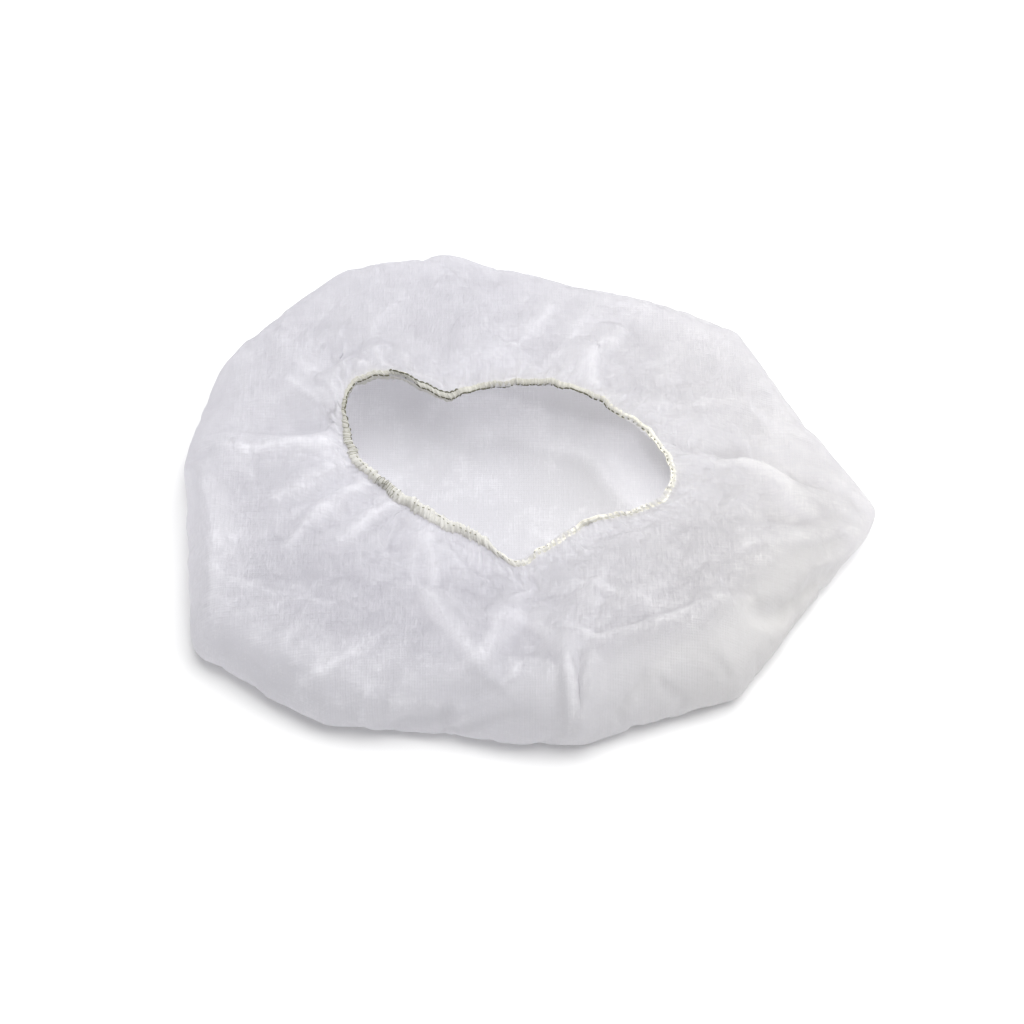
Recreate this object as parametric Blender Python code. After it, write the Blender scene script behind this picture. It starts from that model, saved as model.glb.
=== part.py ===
"""A disposable bouffant cap, lying on its crown with the mouth up.

The cap is one round piece of thin nonwoven cloth, drawn in at its edge by a sewn-on elastic. Its surface is
worked out as sections round the cap. Each section runs from the middle of the crown out along the surface
that the cap lies on, round the side, back over the top and up to the gathered hem of the mouth. The elastic
lies under the hem, inside the cap. Metres, +Z up, the mouth up, the origin at the middle of the base.
"""

import math
from collections import namedtuple

import bpy
from mathutils import Vector

# The cap as it lies
CAP_LENGTH = 0.334
CAP_WIDTH = 0.290
RIM_HEIGHT = 0.040

# The mouth, inside the elastic
MOUTH_LENGTH = 0.166
MOUTH_WIDTH = 0.107
MOUTH_SHIFT_X = -0.011
MOUTH_SHIFT_Y = -0.003

# Cloth and elastic
CLOTH_WALL = 0.0010
HEM_WIDTH = 0.0050
ELASTIC_WIDTH = 0.0044
ELASTIC_THICKNESS = 0.0010
SEWN_GAP = 0.0004

# The underside
FOOT_INSET = 0.014
BELLY_HEIGHT = 0.009
BELLY_PLACE = 0.3
PAD_RADIUS = 0.016
RIPPLE_HEIGHT = 0.0007
RIPPLES_ROUND = 7

# Gathers that the elastic draws into the cloth beside the hem, with two waves that crowd them together and
# one that makes them stronger and weaker round the mouth
Wave = namedtuple("Wave", "turns size start")
GATHERS = 27
GATHER_HEIGHT = 0.0012
HEM_GATHER_SHARE = 0.3
CROWDING = (Wave(3, 0.7, 1.0), Wave(5, 0.5, 2.0))
STRENGTH = Wave(4, 0.25, 0.6)

# How finely the surface is cut
SECTIONS = 120
FLOOR_CUTS = 4
SIDE_CUTS = 5
COVER_CUTS = 11
FOLD_STEPS = 8
FOLD_REACH = 2.5

# The zones of a section, from the middle of the crown to the hem's edge
FLOOR, SIDE, COVER, HEM, EDGE = range(5)

# The cap's plan by the angle round it. Reach is a share of half its length and width, shoulder a share of
# the rim's height, and turn the share of the reach that the rounded side takes.
Spread = namedtuple("Spread", "angle reach shoulder turn")
PLAN = (
    Spread(0, 1.00, 0.52, 0.24),
    Spread(12, 0.91, 0.64, 0.19),
    Spread(26, 0.885, 0.74, 0.16),
    Spread(40, 0.905, 0.80, 0.14),
    Spread(56, 0.87, 0.84, 0.13),
    Spread(76, 0.865, 0.86, 0.13),
    Spread(96, 0.97, 0.86, 0.14),
    Spread(105, 1.03, 0.84, 0.15),
    Spread(120, 1.09, 0.82, 0.15),
    Spread(134, 1.06, 0.80, 0.14),
    Spread(148, 1.05, 0.79, 0.14),
    Spread(165, 1.005, 0.79, 0.13),
    Spread(180, 1.00, 0.80, 0.12),
    Spread(196, 1.02, 0.80, 0.13),
    Spread(212, 1.12, 0.80, 0.17),
    Spread(226, 1.085, 0.85, 0.19),
    Spread(239, 1.075, 0.90, 0.20),
    Spread(253, 1.005, 0.94, 0.20),
    Spread(267, 1.00, 0.95, 0.20),
    Spread(279, 1.005, 0.95, 0.21),
    Spread(292, 0.985, 0.95, 0.22),
    Spread(306, 1.005, 0.92, 0.22),
    Spread(324, 0.945, 0.84, 0.22),
    Spread(340, 0.965, 0.70, 0.22),
    Spread(352, 1.01, 0.56, 0.24),
)

# The mouth by the angle round it. Reach is a share of half its length and width, height a share of the
# rim's height, and lean the slope of the hem, in degrees, with its edge above its root.
Mouth = namedtuple("Mouth", "angle reach height lean")
MOUTH = (
    Mouth(6, 0.96, 0.90, 4),
    Mouth(25, 0.92, 0.93, -8),
    Mouth(43, 0.90, 0.95, -18),
    Mouth(62, 0.97, 0.96, -28),
    Mouth(75, 0.95, 0.97, -32),
    Mouth(93, 0.85, 0.98, -34),
    Mouth(104, 0.80, 0.98, -34),
    Mouth(112, 0.84, 0.98, -34),
    Mouth(120, 1.08, 0.99, -32),
    Mouth(130, 1.25, 1.00, -28),
    Mouth(141, 1.27, 0.96, -18),
    Mouth(154, 1.11, 0.92, 0),
    Mouth(165, 0.97, 0.88, 18),
    Mouth(182, 0.82, 0.84, 30),
    Mouth(206, 0.74, 0.80, 38),
    Mouth(235, 0.74, 0.76, 42),
    Mouth(258, 0.85, 0.73, 42),
    Mouth(271, 1.00, 0.68, 36),
    Mouth(282, 0.98, 0.70, 36),
    Mouth(294, 0.85, 0.75, 38),
    Mouth(312, 0.795, 0.77, 36),
    Mouth(327, 0.91, 0.79, 28),
    Mouth(338, 1.01, 0.82, 20),
    Mouth(350, 1.015, 0.87, 12),
)

# Folds in the side and cover. A fold starts, bends and ends at an angle and a place, where the places are
# 1 at the foot, 2 at the shoulder and 3 at the root of the hem. Lift is its height, up for a ridge and down
# for a hollow, and spread is half its width, both as shares of the rim's height.
Fold = namedtuple("Fold", "start start_place bend bend_place end end_place lift spread")
FOLDS = (
    # The long crease to the left, and the hollow behind it
    Fold(166, 3.00, 173, 2.45, 170, 1.60, 0.11, 0.17),
    Fold(155, 3.00, 164, 2.50, 166, 1.80, -0.15, 0.25),
    Fold(150, 3.00, 150, 2.70, 152, 2.25, 0.05, 0.15),
    Fold(139, 2.90, 138, 2.55, 121, 2.70, -0.12, 0.23),
    Fold(134, 2.90, 131, 3.00, 126, 3.00, 0.05, 0.13),
    # The soft corner along the left edge
    Fold(176, 1.70, 192, 1.85, 215, 1.55, 0.06, 0.15),
    Fold(179, 2.10, 195, 2.10, 211, 1.90, -0.06, 0.25),
    # Gathers drawn out of the hem to the left front
    Fold(175, 3.00, 183, 2.65, 188, 2.25, 0.10, 0.15),
    Fold(186, 3.00, 190, 2.70, 195, 2.35, -0.10, 0.14),
    Fold(193, 3.00, 196, 2.70, 203, 2.25, 0.12, 0.15),
    Fold(203, 3.00, 204, 2.75, 206, 2.35, -0.10, 0.14),
    Fold(213, 3.00, 208, 2.80, 211, 2.45, 0.11, 0.13),
    Fold(221, 3.00, 223, 2.80, 223, 2.50, -0.15, 0.20),
    Fold(232, 3.00, 236, 2.85, 242, 2.65, 0.11, 0.15),
    # The tuck that hangs from the front of the mouth, and the arch beside it
    Fold(239, 2.50, 252, 2.25, 263, 1.85, 0.12, 0.19),
    Fold(264, 2.30, 271, 2.20, 277, 2.05, -0.16, 0.25),
    Fold(259, 2.10, 271, 2.60, 281, 2.15, 0.09, 0.15),
    # The low front wall
    Fold(244, 1.50, 254, 1.60, 267, 1.90, -0.10, 0.20),
    Fold(244, 1.75, 252, 1.90, 260, 2.00, -0.05, 0.15),
    Fold(280, 2.25, 278, 1.90, 276, 1.30, 0.09, 0.10),
    Fold(281, 2.00, 280, 1.75, 279, 1.45, -0.09, 0.10),
    Fold(285, 2.00, 281, 1.75, 279, 1.30, 0.09, 0.10),
    # The edge of the cover above the front wall
    Fold(279, 2.50, 293, 2.10, 323, 1.90, -0.07, 0.15),
    Fold(285, 2.60, 301, 2.30, 326, 2.05, 0.07, 0.20),
    # Creases that meet at the right corner
    Fold(2, 2.80, 357, 2.10, 349, 1.70, 0.15, 0.15),
    Fold(11, 2.70, 6, 2.15, 2, 1.80, -0.10, 0.20),
    Fold(345, 2.50, 349, 2.00, 349, 1.70, -0.11, 0.20),
    Fold(333, 2.35, 342, 1.95, 348, 1.65, 0.08, 0.13),
    Fold(320, 2.00, 324, 1.90, 327, 1.80, -0.08, 0.15),
    Fold(319, 1.80, 329, 1.45, 346, 1.30, -0.06, 0.15),
    # The bend behind the right end of the mouth
    Fold(37, 3.00, 14, 2.90, 11, 2.00, -0.12, 0.20),
    Fold(14, 3.00, 4, 2.80, 6, 2.45, 0.07, 0.17),
    # Small creases behind the mouth
    Fold(66, 2.50, 65, 2.80, 52, 3.00, 0.09, 0.16),
    Fold(57, 2.65, 55, 2.80, 48, 2.90, -0.07, 0.17),
    Fold(64, 2.20, 63, 2.45, 62, 2.65, 0.06, 0.13),
    Fold(91, 2.65, 86, 2.30, 82, 1.80, 0.06, 0.13),
)


def around(rows, column, angle):
    """The value of a table's column at an angle in degrees, on a smooth closed curve through its rows."""
    count = len(rows)
    angle %= 360
    after = next((i for i, row in enumerate(rows) if row.angle > angle), count)
    knots = []
    for index in range(after - 2, after + 2):
        row = rows[index % count]
        knots.append((row.angle + index // count * 360, getattr(row, column)))
    (a0, v0), (a1, v1), (a2, v2), (a3, v3) = knots
    width = a2 - a1
    share = (angle - a1) / width
    leaving = (v2 - v0) / (a2 - a0) * width
    arriving = (v3 - v1) / (a3 - a1) * width
    rise = smooth(share)
    ends = v1 * (1 - rise) + v2 * rise
    return ends + leaving * share * (1 - share) ** 2 - arriving * share**2 * (1 - share)


def swing(wave, turn):
    """The height of a wave at a turn round the cap, in radians."""
    return wave.size * math.sin(wave.turns * turn + wave.start)


def smooth(share):
    """A rise from 0 to 1 that starts and ends level."""
    share = min(max(share, 0), 1)
    return share * share * (3 - 2 * share)


def ring_shape(rows, length, width):
    """A function that gives the plan of a table's ring at an angle, in a box of that length and width."""

    def bare(angle):
        turn = math.radians(angle)
        reach = around(rows, "reach", angle)
        return reach * math.cos(turn), reach * math.sin(turn)

    loop = [bare(angle) for angle in range(360)]
    low_x, high_x = min(p[0] for p in loop), max(p[0] for p in loop)
    low_y, high_y = min(p[1] for p in loop), max(p[1] for p in loop)

    def placed(angle):
        x, y = bare(angle)
        across = (x - low_x) / (high_x - low_x) - 0.5
        along = (y - low_y) / (high_y - low_y) - 0.5
        return Vector((across * length, along * width, 0))

    return placed


cap_plan = ring_shape(PLAN, CAP_LENGTH, CAP_WIDTH)
mouth_plan = ring_shape(MOUTH, MOUTH_LENGTH, MOUTH_WIDTH)


class Section:
    """One section of the cap, at an angle round it."""

    def __init__(self, angle):
        self.angle = angle
        self.outer = cap_plan(angle)
        self.foot = self.outer * (1 - FOOT_INSET / self.outer.length)
        self.shoulder = self.outer * (1 - around(PLAN, "turn", angle))
        self.shoulder.z = around(PLAN, "shoulder", angle) * RIM_HEIGHT
        self.rim = mouth_plan(angle) + Vector((MOUTH_SHIFT_X, MOUTH_SHIFT_Y, 0))
        lean = math.radians(around(MOUTH, "lean", angle))
        inward = (self.rim - self.outer).normalized()
        hem = inward * math.cos(lean) + Vector((0, 0, math.sin(lean)))
        self.rim.z = around(MOUTH, "height", angle) * RIM_HEIGHT
        self.root = self.rim - hem * HEM_WIDTH

    def bare(self, place):
        """A point of the outer surface with no folds. Place runs from FLOOR at the middle to EDGE."""
        if place <= SIDE:
            return self.foot * (place - FLOOR)
        if place <= COVER:
            return self.side(place - SIDE)
        if place <= HEM:
            share = place - COVER
            spot = self.shoulder.lerp(self.root, share)
            spot.z = self.shoulder.z + (self.root.z - self.shoulder.z) * smooth(share)
            return spot
        return self.root.lerp(self.rim, place - HEM)

    def side(self, share):
        """A point of the rounded side: out under the belly, then up and over it to the shoulder."""
        if share < BELLY_PLACE:
            turn = (share / BELLY_PLACE - 1) * math.pi / 2
            spot = self.foot.lerp(self.outer, math.cos(turn))
            spot.z = BELLY_HEIGHT * (1 + math.sin(turn))
            return spot
        turn = (share - BELLY_PLACE) / (1 - BELLY_PLACE) * math.pi / 2
        spot = self.shoulder.lerp(self.outer, math.cos(turn))
        spot.z = BELLY_HEIGHT + (self.shoulder.z - BELLY_HEIGHT) * math.sin(turn)
        return spot

    def gather(self, place):
        """How far the gathers raise the cloth: most beside the hem, none at the shoulder."""
        turn = math.radians(self.angle)
        phase = GATHERS * turn + sum(swing(wave, turn) for wave in CROWDING)
        strength = 1 - STRENGTH.size + swing(STRENGTH, turn)
        return GATHER_HEIGHT * strength * math.sin(phase) * smooth((place - COVER) * 2 - 1)

    def ripple(self, place):
        """How far the cloth's shallow ripples stand off the surface that the cap lies on."""
        turn = math.radians(self.angle)
        wave = 1 + math.sin(RIPPLES_ROUND * turn + 5 * place) * math.cos(2 * turn - 3 * place)
        return RIPPLE_HEIGHT * wave / 2 * smooth(6 * place - 0.6) * smooth(4 * (1 - place))


def fold_curve(fold):
    """Points in plan along a fold, evenly by share, from its start through its bend to its end."""
    start = Section(fold.start).bare(fold.start_place).xy
    bend = Section(fold.bend).bare(fold.bend_place).xy
    end = Section(fold.end).bare(fold.end_place).xy
    pull = bend * 2 - (start + end) / 2
    points = []
    for i in range(FOLD_STEPS + 1):
        share = i / FOLD_STEPS
        points.append(start * (1 - share) ** 2 + pull * 2 * share * (1 - share) + end * share**2)
    return points


FOLD_CURVES = [(fold, fold_curve(fold)) for fold in FOLDS]


def fold_lift(spot):
    """How far the folds raise the cloth at a spot."""
    lift = 0
    for fold, curve in FOLD_CURVES:
        away, share = min(nearest(spot.xy, curve, i) for i in range(FOLD_STEPS))
        away /= fold.spread * RIM_HEIGHT
        if away < FOLD_REACH:
            lift += fold.lift * smooth(share * 4) * smooth((1 - share) * 2) * math.exp(-away * away)
    return lift * RIM_HEIGHT


def nearest(here, curve, index):
    """How far a place is from one step of a curve, and the share of the curve where it is nearest."""
    start, end = curve[index], curve[index + 1]
    step = end - start
    share = min(max((here - start).dot(step) / step.length_squared, 0), 1)
    return (start + step * share - here).length, (index + share) / FOLD_STEPS


def cuts(start, end, count):
    """Places from start to just before end, evenly apart."""
    return [start + (end - start) * i / count for i in range(count)]


def ring_normals(rings, index):
    """The outward normals of a grid of points at one of its rings."""
    ring = rings[index]
    before, after = rings[max(index - 1, 0)], rings[min(index + 1, len(rings) - 1)]
    count = len(ring)
    normals = []
    for i in range(count):
        across = ring[(i + 1) % count] - ring[i - 1]
        along = after[i] - before[i]
        normals.append(across.cross(along).normalized())
    return normals


def outer_rings():
    """The cloth's outer surface, ring by ring from near the middle of the crown to the hem's edge."""
    sections = [Section(360 * i / SECTIONS) for i in range(SECTIONS)]
    first = PAD_RADIUS / (min(CAP_LENGTH, CAP_WIDTH) / 2)
    places = cuts(first, SIDE, FLOOR_CUTS) + cuts(SIDE, COVER, SIDE_CUTS) + cuts(COVER, HEM, COVER_CUTS)
    places += [HEM, EDGE]
    bare = [[section.bare(place) for section in sections] for place in places]
    rings = []
    for index, place in enumerate(places):
        if place < SIDE:
            lifts = [Vector((0, 0, section.ripple(place))) for section in sections]
        else:
            risen = smooth((place - SIDE) * 2 - 0.2)
            hemmed = 1 - (1 - HEM_GATHER_SHARE) * smooth((place - COVER) * 5 - 4)
            lifts = []
            for section, spot, normal in zip(sections, bare[index], ring_normals(bare, index)):
                lifts.append(normal * (fold_lift(spot) * risen + section.gather(place)) * hemmed)
        rings.append([spot + lift for spot, lift in zip(bare[index], lifts)])
    return rings


def under(rings, depth):
    """The rings again, that far under the outer surface."""
    sunk = []
    for index, ring in enumerate(rings):
        sunk.append([spot - normal * depth for spot, normal in zip(ring, ring_normals(rings, index))])
    return sunk


def plain_material(name, colour, roughness):
    material = bpy.data.materials.new(name)
    material.use_nodes = True
    shader = material.node_tree.nodes["Principled BSDF"]
    shader.inputs["Base Color"].default_value = colour
    shader.inputs["Roughness"].default_value = roughness
    shader.inputs["Metallic"].default_value = 0
    material.diffuse_color = colour
    return material


def add_rings(name, rings, closed, material):
    """An object of rings of points, joined each to the next. Closed joins the last to the first as well."""
    mesh = bpy.data.meshes.new(name)
    count = len(rings[0])
    pairs = list(zip(range(len(rings)), range(1, len(rings))))
    if closed:
        pairs.append((len(rings) - 1, 0))
    faces = []
    for a, b in pairs:
        for i in range(count):
            j = (i + 1) % count
            faces.append((a * count + i, a * count + j, b * count + j, b * count + i))
    if not closed:
        faces.append(tuple(reversed(range(count))))
        faces.append(tuple(range(len(rings) * count - count, len(rings) * count)))
    mesh.from_pydata([spot for ring in rings for spot in ring], [], faces)
    mesh.materials.append(material)
    mesh.shade_smooth()
    bpy.context.scene.collection.objects.link(bpy.data.objects.new(name, mesh))


def make_crown(rings):
    """The cloth: an outer and an inner surface that meet at the hem's edge, each closed at the middle."""
    inner = under(rings, CLOTH_WALL)
    white = plain_material("nonwoven_cloth", (0.86, 0.855, 0.875, 1), 0.9)
    add_rings("crown", rings + list(reversed(inner)), False, white)


def make_elastic(rings):
    """The elastic: a flat band under the hem, following it all the way round."""
    near = under(rings, CLOTH_WALL + SEWN_GAP)
    far = under(rings, CLOTH_WALL + SEWN_GAP + ELASTIC_THICKNESS)
    share = ELASTIC_WIDTH / HEM_WIDTH
    near_root = [edge.lerp(root, share) for edge, root in zip(near[-1], near[-2])]
    far_root = [edge.lerp(root, share) for edge, root in zip(far[-1], far[-2])]
    cream = plain_material("sewn_elastic", (0.84, 0.83, 0.77, 1), 0.75)
    add_rings("elastic_band", [near[-1], far[-1], far_root, near_root], True, cream)


for thing in list(bpy.data.objects):
    bpy.data.objects.remove(thing)
surface = outer_rings()
make_crown(surface)
make_elastic(surface)
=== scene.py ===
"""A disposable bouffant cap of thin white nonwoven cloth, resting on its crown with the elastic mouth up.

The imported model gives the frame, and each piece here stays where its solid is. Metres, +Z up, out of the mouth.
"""

import math
from collections import namedtuple

import bpy
import numpy as np
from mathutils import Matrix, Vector


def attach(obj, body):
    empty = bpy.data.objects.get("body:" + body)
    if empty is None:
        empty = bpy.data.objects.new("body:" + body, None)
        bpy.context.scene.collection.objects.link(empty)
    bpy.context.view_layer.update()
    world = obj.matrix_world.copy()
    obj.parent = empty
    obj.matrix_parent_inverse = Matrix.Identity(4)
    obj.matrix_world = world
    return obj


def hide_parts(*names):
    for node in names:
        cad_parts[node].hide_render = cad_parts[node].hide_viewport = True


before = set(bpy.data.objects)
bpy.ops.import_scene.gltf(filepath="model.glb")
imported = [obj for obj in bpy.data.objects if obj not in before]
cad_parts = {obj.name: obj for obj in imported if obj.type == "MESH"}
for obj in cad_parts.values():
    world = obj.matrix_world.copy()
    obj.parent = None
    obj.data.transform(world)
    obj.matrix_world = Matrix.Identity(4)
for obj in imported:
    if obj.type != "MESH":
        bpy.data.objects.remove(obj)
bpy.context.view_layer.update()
bpy.ops.object.select_all(action="DESELECT")


# The crown. The real piece is one round of white spunbonded nonwoven, cut 533 mm across and drawn in by the
# elastic at its edge. It is one thin open skin here, from the middle of the crown that it lies on, out to the
# side and back over the top to the hem. Its folds are the CAD crown's, inside a truer outline and mouth.
RIM_HEIGHT = 0.040
MOUTH_LENGTH, MOUTH_WIDTH = 0.1562, 0.1032
MOUTH_SHIFT = np.array((-0.0112, -0.0025, 0))
HEM_WIDTH = 0.0050
FOOT_INSET, BELLY_HEIGHT, BELLY_PLACE = 0.014, 0.009, 0.3
RIPPLE_HEIGHT, RIPPLES_ROUND = 0.0007, 7
GATHERS, GATHER_HEIGHT = 27, 0.0012
MEDIUM_GATHER, FINE_GATHER = 0.0006, 0.0004
FLOOR_LIFT = 0.00005
COLUMNS = 720
FLOOR_RINGS, SIDE_RINGS, COVER_RINGS, HEM_RINGS = 30, 24, 60, 3

# The zones of the cloth, from the middle of the crown to the hem's edge
FLOOR, SIDE, COVER, HEM, EDGE = range(5)

# How high the shoulder is, as a share of the rim's height, and how far in from the outline, as a share of its reach
Spread = namedtuple("Spread", "angle shoulder turn")
PLAN = (
    Spread(0, 0.52, 0.24),
    Spread(12, 0.64, 0.19),
    Spread(26, 0.74, 0.16),
    Spread(40, 0.80, 0.14),
    Spread(56, 0.84, 0.13),
    Spread(76, 0.86, 0.13),
    Spread(96, 0.86, 0.14),
    Spread(105, 0.84, 0.15),
    Spread(120, 0.82, 0.15),
    Spread(134, 0.80, 0.14),
    Spread(148, 0.79, 0.14),
    Spread(165, 0.79, 0.13),
    Spread(180, 0.80, 0.12),
    Spread(196, 0.80, 0.13),
    Spread(212, 0.80, 0.17),
    Spread(226, 0.85, 0.19),
    Spread(239, 0.90, 0.20),
    Spread(253, 0.94, 0.20),
    Spread(267, 0.95, 0.20),
    Spread(279, 0.95, 0.21),
    Spread(292, 0.95, 0.22),
    Spread(306, 0.92, 0.22),
    Spread(324, 0.84, 0.22),
    Spread(340, 0.70, 0.22),
    Spread(352, 0.56, 0.24),
)
# The real outline is nearly straight between these corners, which are rounded a little. Reach in millimetres.
Corner = namedtuple("Corner", "angle reach")
CORNER_ROUNDING = 1.2
CORNERS = (
    Corner(-3.5, 167.0),
    Corner(26, 136.6),
    Corner(41, 140.6),
    Corner(52, 132.8),
    Corner(65, 125.4),
    Corner(80, 124.2),
    Corner(103.5, 150.2),
    Corner(107, 155.0),
    Corner(125, 166.2),
    Corner(148, 168.7),
    Corner(155, 169.4),
    Corner(175.5, 168.0),
    Corner(209, 180.8),
    Corner(211.5, 181.8),
    Corner(216, 175.2),
    Corner(224.5, 169.4),
    Corner(234.5, 164.0),
    Corner(238.5, 158.2),
    Corner(247, 150.3),
    Corner(254, 146.4),
    Corner(267.5, 144.6),
    Corner(279.5, 146.2),
    Corner(288, 143.2),
    Corner(309, 152.4),
    Corner(351, 162.6),
)

# The mouth. Reach is a share of half its box, height a share of the rim's, and lean the hem's slope in degrees.
Mouth = namedtuple("Mouth", "angle reach height lean")
MOUTH = (
    Mouth(3, 0.92, 0.90, 4),
    Mouth(20, 0.87, 0.93, -8),
    Mouth(38, 0.825, 0.95, -18),
    Mouth(58, 0.86, 0.96, -28),
    Mouth(71, 0.885, 0.97, -32),
    Mouth(81, 0.84, 0.98, -34),
    Mouth(90, 0.815, 0.98, -34),
    Mouth(97, 0.81, 0.98, -34),
    Mouth(105, 0.79, 0.98, -34),
    Mouth(113, 0.755, 0.98, -34),
    Mouth(118, 0.79, 0.98, -33),
    Mouth(122, 0.97, 0.99, -31),
    Mouth(126.5, 1.16, 1.00, -28),
    Mouth(134, 1.235, 0.98, -22),
    Mouth(142, 1.18, 0.95, -14),
    Mouth(153, 1.05, 0.92, 0),
    Mouth(164.5, 0.94, 0.88, 18),
    Mouth(182, 0.81, 0.84, 30),
    Mouth(198, 0.70, 0.80, 36),
    Mouth(229, 0.65, 0.77, 42),
    Mouth(255, 0.72, 0.74, 42),
    Mouth(266, 0.85, 0.70, 38),
    Mouth(273, 0.955, 0.68, 36),
    Mouth(284, 0.85, 0.71, 36),
    Mouth(297, 0.75, 0.75, 38),
    Mouth(315, 0.74, 0.77, 36),
    Mouth(329, 0.865, 0.79, 28),
    Mouth(337.5, 0.935, 0.82, 20),
    Mouth(350, 0.95, 0.87, 12),
)

# The broad folds, which the CAD crown has too. Lift and spread are shares of the rim's height.
Fold = namedtuple("Fold", "start start_place bend bend_place end end_place lift spread")
FOLDS = (
    Fold(166, 3.00, 173, 2.45, 170, 1.60, 0.11, 0.17),
    Fold(155, 3.00, 164, 2.50, 166, 1.80, -0.15, 0.25),
    Fold(150, 3.00, 150, 2.70, 152, 2.25, 0.05, 0.15),
    Fold(139, 2.90, 138, 2.55, 121, 2.70, -0.12, 0.23),
    Fold(134, 2.90, 131, 3.00, 126, 3.00, 0.05, 0.13),
    Fold(176, 1.70, 192, 1.85, 215, 1.55, 0.06, 0.15),
    Fold(179, 2.10, 195, 2.10, 211, 1.90, -0.06, 0.25),
    Fold(175, 3.00, 183, 2.65, 188, 2.25, 0.10, 0.15),
    Fold(186, 3.00, 190, 2.70, 195, 2.35, -0.10, 0.14),
    Fold(193, 3.00, 196, 2.70, 203, 2.25, 0.12, 0.15),
    Fold(203, 3.00, 204, 2.75, 206, 2.35, -0.10, 0.14),
    Fold(213, 3.00, 208, 2.80, 211, 2.45, 0.11, 0.13),
    Fold(221, 3.00, 223, 2.80, 223, 2.50, -0.15, 0.20),
    Fold(232, 3.00, 236, 2.85, 242, 2.65, 0.11, 0.15),
    Fold(239, 2.50, 252, 2.25, 263, 1.85, 0.12, 0.19),
    Fold(264, 2.30, 271, 2.20, 277, 2.05, -0.16, 0.25),
    Fold(259, 2.10, 271, 2.60, 281, 2.15, 0.09, 0.15),
    Fold(244, 1.50, 254, 1.60, 267, 1.90, -0.10, 0.20),
    Fold(244, 1.75, 252, 1.90, 260, 2.00, -0.05, 0.15),
    Fold(280, 2.25, 278, 1.90, 276, 1.30, 0.09, 0.10),
    Fold(281, 2.00, 280, 1.75, 279, 1.45, -0.09, 0.10),
    Fold(285, 2.00, 281, 1.75, 279, 1.30, 0.09, 0.10),
    Fold(279, 2.50, 293, 2.10, 323, 1.90, -0.07, 0.15),
    Fold(285, 2.60, 301, 2.30, 326, 2.05, 0.07, 0.20),
    Fold(2, 2.80, 357, 2.10, 349, 1.70, 0.15, 0.15),
    Fold(11, 2.70, 6, 2.15, 2, 1.80, -0.10, 0.20),
    Fold(345, 2.50, 349, 2.00, 349, 1.70, -0.11, 0.20),
    Fold(333, 2.35, 342, 1.95, 348, 1.65, 0.08, 0.13),
    Fold(320, 2.00, 324, 1.90, 327, 1.80, -0.08, 0.15),
    Fold(319, 1.80, 329, 1.45, 346, 1.30, -0.06, 0.15),
    Fold(37, 3.00, 14, 2.90, 11, 2.00, -0.12, 0.20),
    Fold(14, 3.00, 4, 2.80, 6, 2.45, 0.07, 0.17),
    Fold(66, 2.50, 65, 2.80, 52, 3.00, 0.09, 0.16),
    Fold(57, 2.65, 55, 2.80, 48, 2.90, -0.07, 0.17),
    Fold(64, 2.20, 63, 2.45, 62, 2.65, 0.06, 0.13),
    Fold(91, 2.65, 86, 2.30, 82, 1.80, 0.06, 0.13),
)

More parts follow.
